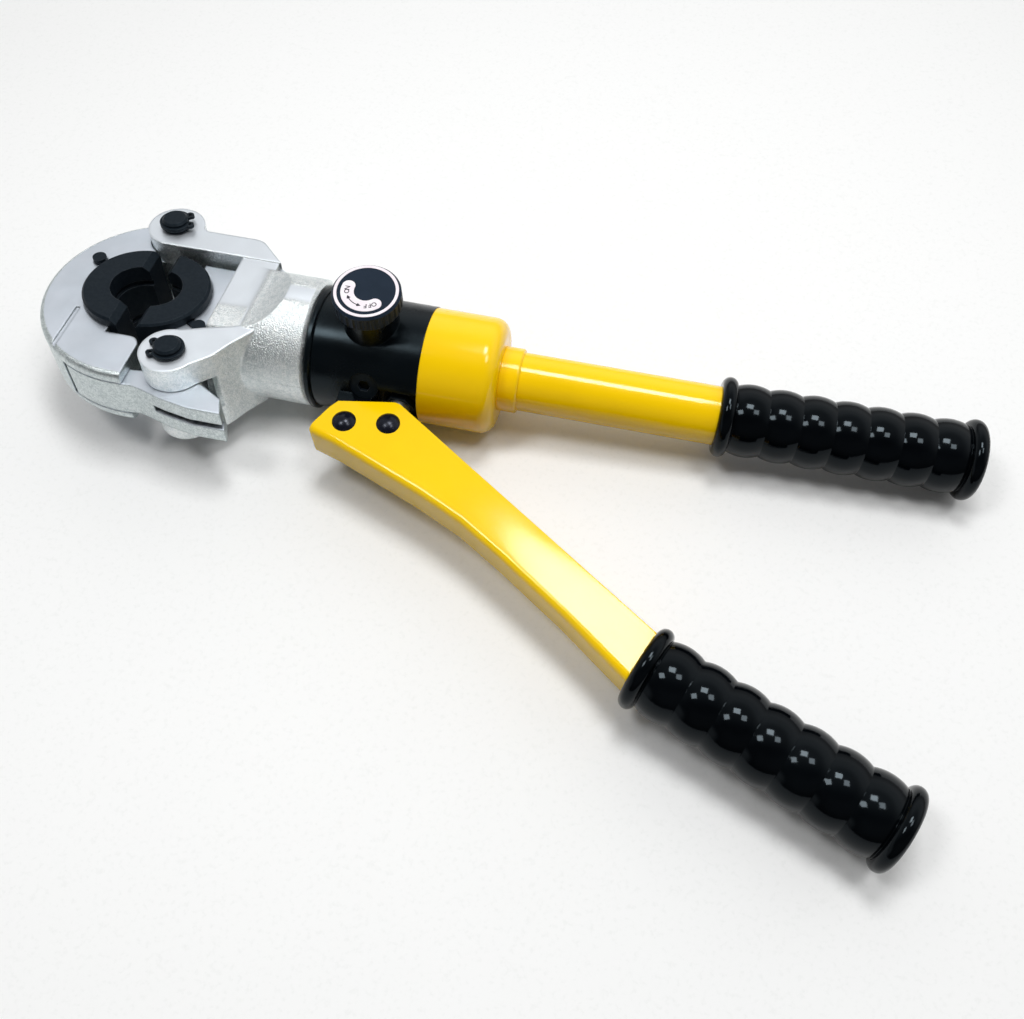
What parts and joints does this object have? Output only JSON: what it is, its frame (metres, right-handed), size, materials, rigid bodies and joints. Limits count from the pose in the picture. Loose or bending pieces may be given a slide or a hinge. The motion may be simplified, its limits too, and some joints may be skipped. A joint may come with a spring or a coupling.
{
  "type": "hydraulic crimping tool",
  "caption": "Hand-pumped hydraulic crimping tool with a swivelling flip-open jaw head, half-round dies, a release knob and a ribbed pump lever.",
  "frame": {"origin": "centre of the front die's bore, on the tool's long axis", "axes": "+X along the tool towards the handle grip, +Z along the release knob's axis away from the body, the pump lever on the -Y side"},
  "size_m": [0.4297, 0.2404, 0.0789],
  "materials": {
    "cast_steel": "zinc plated casting, satin flats and grainy sides",
    "black_oxide": "black oxide, dull",
    "bright_steel": "ground",
    "rubber": "matt",
    "black_paint": "semi-gloss black",
    "yellow_paint": "gloss yellow",
    "black_grip": "glossy moulded grip",
    "black_knob": "moulded, fluted side",
    "pale_label": "printed inlay"
  },
  "bodies": {
    "pump": {"pump_body": "black_paint", "swivel_ring": "black_paint", "swivel_wire": "bright_steel", "body_plug": "black_oxide", "plunger_gland": "black_oxide", "valve_ball": "bright_steel", "tank_sleeve": "yellow_paint", "handle_collar": "yellow_paint", "handle_tube": "yellow_paint", "oil_bladder": "rubber", "tube_plug": "bright_steel", "handle_grip": "black_grip"},
    "head": {"head_frame": "cast_steel", "hinge_pin": "black_oxide", "lock_pin": "black_oxide", "pin_circlips": "black_oxide", "lock_spring": "bright_steel", "return_spring": "bright_steel", "swivel_seal": "rubber"},
    "jaw": {"latch_jaw": "cast_steel", "front_die": "black_oxide"},
    "front_die_button": {"front_button": "black_oxide"},
    "lock": {"lock_lever": "cast_steel"},
    "ram_group": {"ram": "bright_steel", "ram_seal": "rubber", "die_carrier": "cast_steel", "rear_die": "black_oxide"},
    "rear_die_button": {"rear_button": "black_oxide"},
    "knob": {"release_knob": "black_knob", "knob_label": "pale_label", "release_spindle": "bright_steel"},
    "lever": {"pump_lever": "yellow_paint", "lever_pins": "black_oxide", "lever_grip": "black_grip"},
    "pump_plunger": {"plunger": "bright_steel"}
  },
  "joints": [
    {"name": "head_swivel", "type": "hinge", "parent": "pump", "child": "head", "pos_m": [0.095, 0, 0], "axis": [1, 0, 0], "range_deg": [-175, 175]},
    {"name": "jaw_hinge", "type": "hinge", "parent": "head", "child": "jaw", "pos_m": [0.0033, 0.04, -0.00634], "axis": [0, 0.1564, 0.9877], "range_deg": [-60, 0]},
    {"name": "lock_hinge", "type": "hinge", "parent": "head", "child": "lock", "pos_m": [0.032, -0.03812, 0.00604], "axis": [0, 0.1564, 0.9877], "range_deg": [0, 18]},
    {"name": "ram_slide", "type": "slide", "parent": "head", "child": "ram_group", "axis": [-1, 0, 0], "range_m": [0, 0.0087], "stiffness_N_per_m": 400},
    {"name": "front_button_press", "type": "slide", "parent": "jaw", "child": "front_die_button", "axis": [0, -0.1564, -0.9877], "range_m": [0, 0.0024], "stiffness_N_per_m": 600},
    {"name": "rear_button_press", "type": "slide", "parent": "ram_group", "child": "rear_die_button", "axis": [0, -0.1564, -0.9877], "range_m": [0, 0.0024], "stiffness_N_per_m": 600},
    {"name": "knob_turn", "type": "hinge", "parent": "pump", "child": "knob", "pos_m": [0.1132, 0, 0], "axis": [0, 0, 1], "range_deg": [0, 110]},
    {"name": "lever_swing", "type": "hinge", "parent": "pump", "child": "lever", "pos_m": [0.1105, -0.0431, 0], "axis": [0, 0, 1], "range_deg": [-6, 18]},
    {"name": "plunger_slide", "type": "slide", "parent": "pump", "child": "pump_plunger", "axis": [0, 1, 0], "range_m": [-0.0021, 0.0061]}
  ],
  "couplings": [
    {"joint": "lock_hinge", "follows": "jaw_hinge", "ratio": -0.3},
    {"joint": "plunger_slide", "follows": "lever_swing", "m_per_rad": 0.0191}
  ]
}
